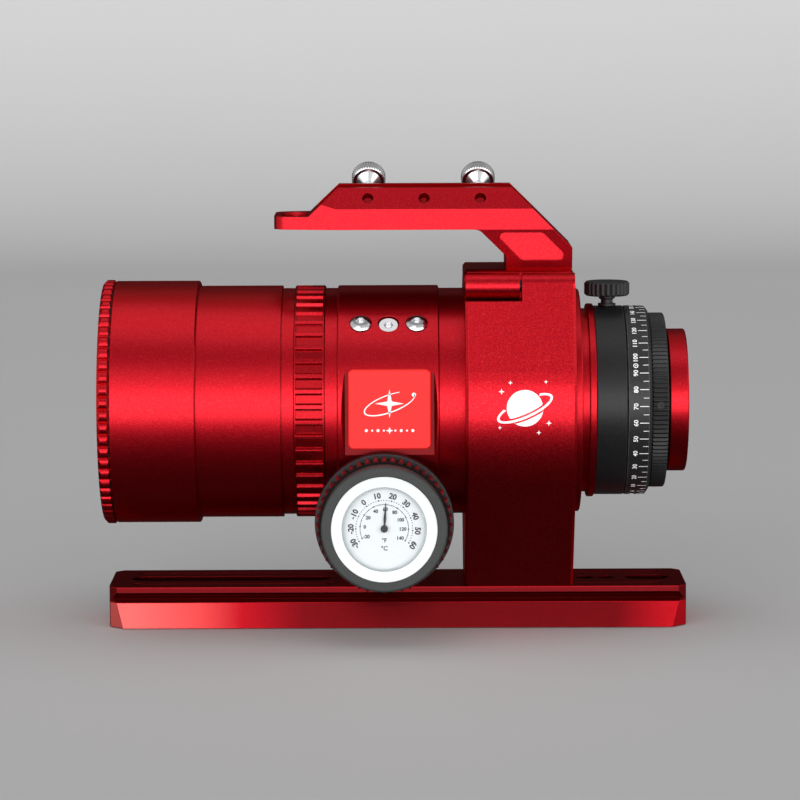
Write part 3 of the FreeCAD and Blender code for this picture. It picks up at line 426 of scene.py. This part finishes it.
PIECES = {
    "red_anodised": ["cap_cover", "dew_shield", "front_tube", "front_collar", "coarse_knob",
                     "handle", "rear_tube", "rear_flange", "rear_cap"],
    "red_anodised_body": ["focuser_body"],
    "red_bead_blasted": ["ring_upper", "ring_base"],
    "red_brushed": ["dovetail_bar"],
    "badge_matte_red": ["badge"],
    "red_knurl": ["focus_knob"],
    "red_ribbed": ["lock_ring"],
    "black_anodised": [
        "ring_clamp_screw", "mask_holder", "pinion_cover", "knob_rear_ring",
        "thermometer_case", "fine_knob", "lens_carriage", "front_cell", "lens_spacer",
        "lens_retainer", "rear_baffle", "rear_cell", "rear_retainer", "rotator_base",
        "rotator_lock_screw", "camera_adapter", "adapter_grub_screw", "hinge_pin"],
    "black_anodised_turned": ["rotator_scale"],
    "grey_anodised": ["knob_front_ring"],
    "polished_screw": ["bar_bolts", "handle_screws", "guide_screws", "preload_screw",
                       "pinion_cover_screws", "rack_screws"],
    "turned_steel": ["finder_screw_1", "finder_screw_2", "pinion_shaft", "focus_rack",
                     "fine_shaft"],
    "bronze": ["guide_pad", "shaft_bushings", "bimetal_coil"],
    "black_felt": ["shield_felt"],
    "clear_acrylic": ["focus_mask"],
    "optical_glass": ["lens_1", "lens_2", "rear_lens_a", "rear_lens_b"],
    "bezel_white": ["thermometer_bezel"],
    "dial_white": ["thermometer_dial"],
    "instrument_glass": ["thermometer_glass"],
    "needle_black": ["thermometer_needle"],
}
for material_name, piece_names in PIECES.items():
    for piece_name in piece_names:
        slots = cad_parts[piece_name].data.materials
        slots.clear()
        slots.append(materials[material_name])


# ------------------------------------------------------------------ printed marks, raised ink
def polar(radius, degrees):
    """A point at an angle clockwise from up."""
    angle = math.radians(degrees)
    return radius * math.sin(angle), radius * math.cos(angle)


def turned(points, degrees):
    """Points turned anticlockwise about the origin."""
    c, s = math.cos(math.radians(degrees)), math.sin(math.radians(degrees))
    return [(x * c - y * s, x * s + y * c) for x, y in points]


class Ink:
    """Flat shapes in (u, v) millimetres; the third value is 0 underneath and 1 on top."""

    def __init__(self):
        self.points, self.faces = [], []

    def polygon(self, outline):
        k, n = len(self.points), len(outline)
        for level in (0.0, 1.0):
            self.points += [(u, v, level) for u, v in outline]
        self.faces.append(tuple(k + i for i in range(n))[::-1])
        self.faces.append(tuple(k + n + i for i in range(n)))
        for i in range(n):
            j = (i + 1) % n
            self.faces.append((k + i, k + j, k + n + j, k + n + i))

    def bar(self, u0, u1, v0, v1):
        self.polygon([(u0, v0), (u1, v0), (u1, v1), (u0, v1)])

    def disc(self, u, v, radius, sides=20):
        angles = [2 * math.pi * i / sides for i in range(sides)]
        self.polygon([(u + radius * math.cos(a), v + radius * math.sin(a)) for a in angles])

    def star(self, u, v, outer, inner):
        """A four-point star."""
        outline = []
        for i in range(8):
            angle = math.pi * i / 4
            radius = inner if i % 2 else outer
            outline.append((u + radius * math.sin(angle), v + radius * math.cos(angle)))
        self.polygon(outline)

    def strip(self, left, right, closed=False):
        """A band between two rows of points."""
        k, n = len(self.points), len(left)
        m = 2 * n
        for level in (0.0, 1.0):
            self.points += [(u, v, level) for u, v in left + right]
        for i in range(n if closed else n - 1):
            j = (i + 1) % n
            self.faces.append((k + i, k + n + i, k + n + j, k + j))
            self.faces.append((k + m + i, k + m + j, k + m + n + j, k + m + n + i))
            self.faces.append((k + i, k + j, k + m + j, k + m + i))
            self.faces.append((k + n + j, k + n + i, k + m + n + i, k + m + n + j))
        if not closed:
            for i in (0, n - 1):
                end = (k + i, k + m + i, k + m + n + i, k + n + i)
                self.faces.append(end if i == 0 else end[::-1])

    def arc(self, u, v, inner, outer, start, end, steps):
        """A curved band; angles clockwise from up, degrees."""
        angles = [start + (end - start) * i / steps for i in range(steps + 1)]
        closed = abs(abs(end - start) - 360) < 1e-6
        if closed:
            angles.pop()
        edges = []
        for radius in (inner, outer):
            offsets = [polar(radius, angle) for angle in angles]
            edges.append([(u + du, v + dv) for du, dv in offsets])
        self.strip(*edges, closed)

    def patch(self, rows):
        """A grid of points, as bottom, top and rim."""
        n, m, k = len(rows), len(rows[0]), len(self.points)
        for level in (0.0, 1.0):
            for row in rows:
                self.points += [(u, v, level) for u, v in row]

        def at(i, j, level):
            return k + level * n * m + i * m + j

        for i in range(n - 1):
            for j in range(m - 1):
                self.faces.append((at(i, j, 0), at(i + 1, j, 0),
                                   at(i + 1, j + 1, 0), at(i, j + 1, 0)))
                self.faces.append((at(i, j, 1), at(i, j + 1, 1),
                                   at(i + 1, j + 1, 1), at(i + 1, j, 1)))
        for i in range(n - 1):
            self.faces.append((at(i, 0, 0), at(i, 0, 1), at(i + 1, 0, 1), at(i + 1, 0, 0)))
            j = m - 1
            self.faces.append((at(i, j, 0), at(i + 1, j, 0), at(i + 1, j, 1), at(i, j, 1)))
        for j in range(m - 1):
            self.faces.append((at(0, j, 0), at(0, j + 1, 0), at(0, j + 1, 1), at(0, j, 1)))
            i = n - 1
            self.faces.append((at(i, j, 0), at(i, j, 1), at(i, j + 1, 1), at(i, j + 1, 0)))

    def text(self, body, size, u, v, turn=0.0, weight=0.0, stretch=1.0):
        """Text centred on (u, v), turned clockwise by turn degrees."""
        curve = bpy.data.curves.new("text", "FONT")
        curve.body = body
        curve.size = size
        curve.align_x = "CENTER"
        curve.align_y = "CENTER"
        curve.resolution_u = 3
        curve.extrude = 0.5
        curve.offset = weight
        holder = bpy.data.objects.new("text", curve)
        bpy.context.scene.collection.objects.link(holder)
        depsgraph = bpy.context.evaluated_depsgraph_get()
        mesh = bpy.data.meshes.new_from_object(holder.evaluated_get(depsgraph))
        solid = bmesh.new()
        solid.from_mesh(mesh)
        bmesh.ops.remove_doubles(solid, verts=solid.verts[:], dist=1e-5)
        bmesh.ops.recalc_face_normals(solid, faces=solid.faces[:])
        xs = [vert.co.x for vert in solid.verts]
        ys = [vert.co.y for vert in solid.verts]
        middle_x, middle_y = (min(xs) + max(xs)) / 2, (min(ys) + max(ys)) / 2
        c, s = math.cos(math.radians(turn)), math.sin(math.radians(turn))
        k = len(self.points)
        solid.verts.index_update()
        for vert in solid.verts:
            x, y = (vert.co.x - middle_x) * stretch, vert.co.y - middle_y
            level = 1.0 if vert.co.z > 0 else 0.0
            self.points.append((u + x * c + y * s, v - x * s + y * c, level))
        for face in solid.faces:
            self.faces.append(tuple(k + vert.index for vert in face.verts))
        solid.free()
        bpy.data.objects.remove(holder)
        bpy.data.curves.remove(curve)
        bpy.data.meshes.remove(mesh)

    def make(self, name, place, material, body):
        """Builds the object, with place() laying each point on its surface."""
        mesh = bpy.data.meshes.new(name)
        mesh.from_pydata([place(*point) for point in self.points], [], self.faces)
        solid = bmesh.new()
        solid.from_mesh(mesh)
        bmesh.ops.recalc_face_normals(solid, faces=solid.faces[:])
        solid.to_mesh(mesh)
        solid.free()
        mesh.materials.append(material)
        obj = bpy.data.objects.new(name, mesh)
        bpy.context.scene.collection.objects.link(obj)
        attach(obj, body)


def around_axis(radius, sink, thickness, start_x=0.0, start_angle=0.0):
    """Places ink on a cylinder's near side: u along +X, v arc length upward, mm."""
    def place(u, v, level):
        angle = v / radius + start_angle
        r = (radius - sink + thickness * level) * MM
        return ((start_x + u) * MM, -r * math.cos(angle), AXIS_Z + r * math.sin(angle))
    return place


def on_dial(u, v, level):
    dial_y, lift, thickness = -0.060, 0.00001, 0.00003
    return (SHAFT_X + u * MM, dial_y - lift - level * thickness, SHAFT_Z + v * MM)


def on_badge(u, v, level):
    lift, thickness = 0.005, 0.04
    return ((BADGE_X + u) * MM, (BADGE_Y - lift - level * thickness) * MM, (BADGE_Z + v) * MM)


def dial_angle(celsius):
    """Clockwise from up: 14.3 degrees C stands upright, 2.64 degrees of turn for each."""
    return (celsius - 14.3) * 2.64


def dial_marks():
    """Celsius numbers outside, Fahrenheit inside."""
    number_radius, dot_radius = 12.0, 10.2
    line_inner, line_outer, line_middle = 8.60, 8.78, 8.69
    ink = Ink()
    for celsius in range(-30, 61, 10):
        angle = dial_angle(celsius)
        ink.text(str(celsius), 2.75, *polar(number_radius, angle), turn=angle, weight=0.11)
    for celsius in range(-30, 61, 2):
        size = 0.30 if celsius % 10 == 0 else 0.19
        ink.disc(*polar(dot_radius, dial_angle(celsius)), size, sides=12)
    ink.arc(0, 0, line_inner, line_outer, dial_angle(-28.9), dial_angle(60), steps=72)
    for fahrenheit in range(-20, 141, 10):
        angle = dial_angle((fahrenheit - 32) / 1.8)
        size = 0.29 if fahrenheit % 20 == 0 else 0.20
        ink.disc(*polar(line_middle, angle), size, sides=12)
    for fahrenheit in range(-20, 141, 20):
        angle = dial_angle((fahrenheit - 32) / 1.8)
        radius = 7.0 if fahrenheit < 100 else 6.75  # three digits sit further in
        ink.text(str(fahrenheit), 1.75, *polar(radius, angle), weight=0.07)
    ink.make("dial_marks", on_dial, materials["printed_black"], "focus_drive")


def dial_units():
    ink = Ink()
    ink.text("°F", 2.1, 0, -4.2, weight=0.06)
    ink.text("°C", 2.2, 0, -7.1, weight=0.06)
    ink.make("dial_units", on_dial, materials["printed_grey"], "focus_drive")


def rotator_marks():
    """Rotator scale, 0 to 350 degrees, and a ringed dot beside its numbers."""
    radius = 35.2
    turn = 2.7            # how far the 70 mark stands above the near side, degrees
    line_end = 91.7
    ink = Ink()
    for degrees in range(0, 360, 5):
        v = math.radians(turn + (degrees - 70)) * radius
        if degrees % 10 == 0:
            ink.bar(88.4, line_end, v - 0.13, v + 0.13)
            ink.text(str(degrees), 2.25, 86.95, v, turn=-90.0, weight=0.045, stretch=1.08)
        else:
            ink.bar(89.7, line_end, v - 0.10, v + 0.10)
    dot_u, dot_v = 87.0, math.radians(turn + 24.6) * radius
    ink.arc(dot_u, dot_v, 0.62, 0.92, 0, 360, steps=28)
    ink.disc(dot_u, dot_v, 0.26, sides=14)
    ink.make("rotator_scale_marks", around_axis(radius, sink=0.005, thickness=0.03),
             materials["printed_white"], "rotator")


def badge_graphic():
    """A plain four-point star and an open orbit above a row of dots."""
    middle_v = 2.2
    half_width, half_height, tilt = 9.6, 3.1, 20
    planet_reach = 9.4
    row_v, row_pitch = -7.6, 2.1
    ink = Ink()
    ink.star(0.0, middle_v, outer=5.2, inner=1.15)
    inner, outer = [], []
    for i in range(97):
        angle = math.radians(60 + 304 * i / 96.0)
        width = 0.28 + 0.22 * math.sin(math.pi * i / 96.0)  # widest half way round
        for edge, offset in ((inner, -width / 2), (outer, width / 2)):
            point = ((half_width + offset) * math.cos(angle),
                     (half_height + offset) * math.sin(angle))
            (u, v), = turned([point], tilt)
            edge.append((u, middle_v + v))
    ink.strip(inner, outer)
    (u, v), = turned([(planet_reach, 0.0)], tilt)
    ink.disc(u, middle_v + v, 0.75)
    for i in range(-4, 5):
        if i == 0:
            ink.star(0, row_v, outer=1.3, inner=0.5)
        else:
            ink.disc(i * row_pitch, row_v, 0.38 if i % 2 else 0.55, sides=16)
    ink.make("badge_graphic", on_badge, materials["printed_white"], "main")


def ring_emblem():
    """A plain ringed planet with a few stars, on the mounting ring's near side."""
    planet = 6.6                                   # radius
    ring_width, ring_height = 10.4, 3.1            # half axes of the ring's middle line
    band, gap, tilt = 0.95, 0.60, 24
    # u, v, size
    stars = ((-8.4, 6.0, 0.50), (-5.2, 9.2, 0.40), (8.6, -5.4, 0.50),
             (5.0, -8.9, 0.40), (-9.0, -7.0, 0.35), (7.6, 9.5, 0.35))
    ink = Ink()

    def limits(x):
        """Half height of the disc and height of the ring's front line at x."""
        return (math.sqrt(planet * planet - x * x),
                -ring_height * math.sqrt(1 - (x / ring_width) ** 2))

    def column(x, low, high, steps):
        high = max(high, low + 0.02)
        return [(x, low + (high - low) * j / steps) for j in range(steps + 1)]

    reach = planet * 0.985
    xs = [-reach + 2 * reach * i / 20 for i in range(21)]
    above, below = [], []
    for x in xs:
        half, line = limits(x)
        above.append(column(x, max(-half, line + band / 2 + gap), half, steps=8))
    for x in [x * 0.90 for x in xs]:
        half, line = limits(x)
        below.append(column(x, -half, line - band / 2 - gap, steps=5))

    # the ring is open where it passes behind the planet
    angles = [math.radians(i * 0.1) for i in range(900)]
    hidden = next(a for a in angles
                  if (ring_width * math.cos(a)) ** 2 + (ring_height * math.sin(a)) ** 2
                  < (planet + gap) ** 2)
    ring = []
    for i in range(81):
        a = (math.pi - hidden) + (math.pi + 2 * hidden) * i / 80
        ring.append([((ring_width + d) * math.cos(a), (ring_height + d) * math.sin(a))
                     for d in (-band / 2, band / 2)])
    for rows in (above, below, ring):
        ink.patch([turned(row, tilt) for row in rows])
    for u, v, size in stars:
        ink.star(u, v, outer=size * 2.2, inner=size * 0.75)
    place = around_axis(50.4, sink=0.01, thickness=0.05, start_x=46.0,
                        start_angle=math.radians(3.4))
    ink.make("ring_emblem", place, materials["printed_white"], "main")


dial_marks()
dial_units()
rotator_marks()
badge_graphic()
ring_emblem()


# ------------------------------------------------------------------ stage
def floor_material():
    material, graph, shader = new_material("floor_pale")
    cloud = graph.noise(graph.position(), scale=3.0)
    graph.fill(shader, {"Base Color": graph.mix(cloud, (0.53, 0.53, 0.535), (0.56, 0.56, 0.562)),
                        "Roughness": 0.8})
    return material


def build_floor():
    """A floor that curves up into a wall on the far side, seen only by the camera."""
    front_y, cove_y, cove, wall_top = -3.0, 1.6, 0.8, 3.0
    half_width, drop = 4.0, 0.0003
    profile = [(front_y, 0.0), (cove_y, 0.0)]
    for i in range(1, 17):
        angle = math.pi / 2 * i / 16
        profile.append((cove_y + cove * math.sin(angle), cove - cove * math.cos(angle)))
    profile.append((cove_y + cove, wall_top))

    mesh = bpy.data.meshes.new("floor")
    sheet = bmesh.new()
    left, right = [[sheet.verts.new((x, y, z - drop)) for y, z in profile]
                   for x in (-half_width, half_width)]
    for i in range(len(profile) - 1):
        sheet.faces.new((left[i], left[i + 1], right[i + 1], right[i]))
    sheet.to_mesh(mesh)
    floor = bpy.data.objects.new("floor", mesh)
    for face in mesh.polygons:
        face.use_smooth = True
    bpy.context.scene.collection.objects.link(floor)
    mesh.materials.append(floor_material())
    floor.visible_glossy = False
    floor.visible_diffuse = False
    floor.visible_shadow = False


def build_world():
    """Soft panels of light all round; the camera itself sees a plain pale grey."""
    ambient, backdrop = 0.046, 0.58
    world = bpy.data.worlds.new("studio")
    bpy.context.scene.world = world
    world.use_nodes = True
    graph = Graph(world.node_tree, "OutputWorld", "Background")
    x, y, z = graph.xyz("TexCoord", "Generated")
    to_degrees = 180 / math.pi
    elevation_now = graph.times(graph.math("ARCSINE", z), to_degrees)
    azimuth_now = graph.times(graph.math("ARCTAN2", x, graph.times(y, -1.0)), to_degrees)

    def window(value, low, high, soft):
        rise, fall = [graph.map_range(value, at - soft, at + soft, smooth=True)
                      for at in (low, high)]
        return graph.math("SUBTRACT", rise, fall)

    def panel(level, elevation, azimuth=None):
        """Ranges are (low, high, softness) in degrees; azimuth 0 is the near side, 90 is +X."""
        mask = window(elevation_now, *elevation)
        if azimuth:
            mask = graph.times(mask, window(azimuth_now, *azimuth))
        return graph.times(mask, level)

    panels = [
        # soft band on the near side and both ends
        panel(level=0.95, elevation=(-11, 17.5, 3), azimuth=(-118, 118, 14)),
        # near softbox, and its glow on the table
        panel(level=2.40, elevation=(-12, 17.0, 2.5), azimuth=(-62, 62, 14)),
        panel(level=0.10, elevation=(-34, -12, 8), azimuth=(-70, 70, 20)),
        # upper panels, parted in the middle, low behind
        panel(level=0.66, elevation=(18, 41, 4), azimuth=(-125, -2.2, 1.6)),
        panel(level=1.10, elevation=(19, 34, 2), azimuth=(-42, -2.4, 1.2)),
        panel(level=0.66, elevation=(18, 41, 4), azimuth=(5.5, 125, 2.5)),
        panel(level=0.10, elevation=(18, 41, 4), azimuth=(-8, 10, 3)),
        panel(level=0.10, elevation=(18, 41, 4)),
        # higher bands and overhead
        panel(level=0.36, elevation=(41, 62, 5)),
        panel(level=0.50, elevation=(62, 100, 6)),
        # +X side
        panel(level=0.40, elevation=(-8, 34, 6), azimuth=(74, 112, 10)),
    ]
    total = ambient
    for light in panels:
        total = graph.plus(light, total)
    choice = graph.add("Mix")
    choice.data_type = "FLOAT"
    graph.feed(choice.inputs[0], graph.add("LightPath").outputs["Is Camera Ray"])
    graph.feed(choice.inputs[2], total)
    graph.feed(choice.inputs[3], backdrop)
    graph.feed(graph.shader.inputs[0], (1.0, 1.0, 1.0))
    graph.feed(graph.shader.inputs[1], choice.outputs[0])


def add_top_light():
    location, target = Vector((-0.12, -0.10, 1.15)), Vector((0, 0, 0.08))
    light = bpy.data.lights.new("top", "AREA")
    light.shape = "RECTANGLE"
    light.size, light.size_y = 0.9, 0.6
    light.energy = 1.3
    light.color = (1, 1, 1)
    lamp = bpy.data.objects.new("top", light)
    lamp.location = location
    lamp.rotation_mode = "QUATERNION"
    lamp.rotation_quaternion = (target - location).to_track_quat("-Z", "Y")
    bpy.context.scene.collection.objects.link(lamp)


def add_camera():
    """A long lens on the near side, looking slightly down."""
    distance, look_down, roll = 1.350, math.radians(6.8), math.radians(-0.22)
    target = Vector((0.0011, 0, AXIS_Z))
    lens = bpy.data.cameras.new("camera")
    camera = bpy.data.objects.new("camera", lens)
    bpy.context.scene.collection.objects.link(camera)
    lens.sensor_width = 36.0
    lens.lens = 162.81
    lens.shift_y = 0.000625
    lens.clip_start, lens.clip_end = 0.05, 20.0
    forward = Vector((0, math.cos(look_down), -math.sin(look_down)))
    camera.location = target - forward * distance
    camera.rotation_mode = "QUATERNION"
    level = forward.to_track_quat("-Z", "Y")
    camera.rotation_quaternion = level @ Matrix.Rotation(roll, 3, "Z").to_quaternion()
    bpy.context.scene.camera = camera


build_floor()
build_world()
add_top_light()
bpy.context.scene.view_settings.view_transform = "Standard"
add_camera()
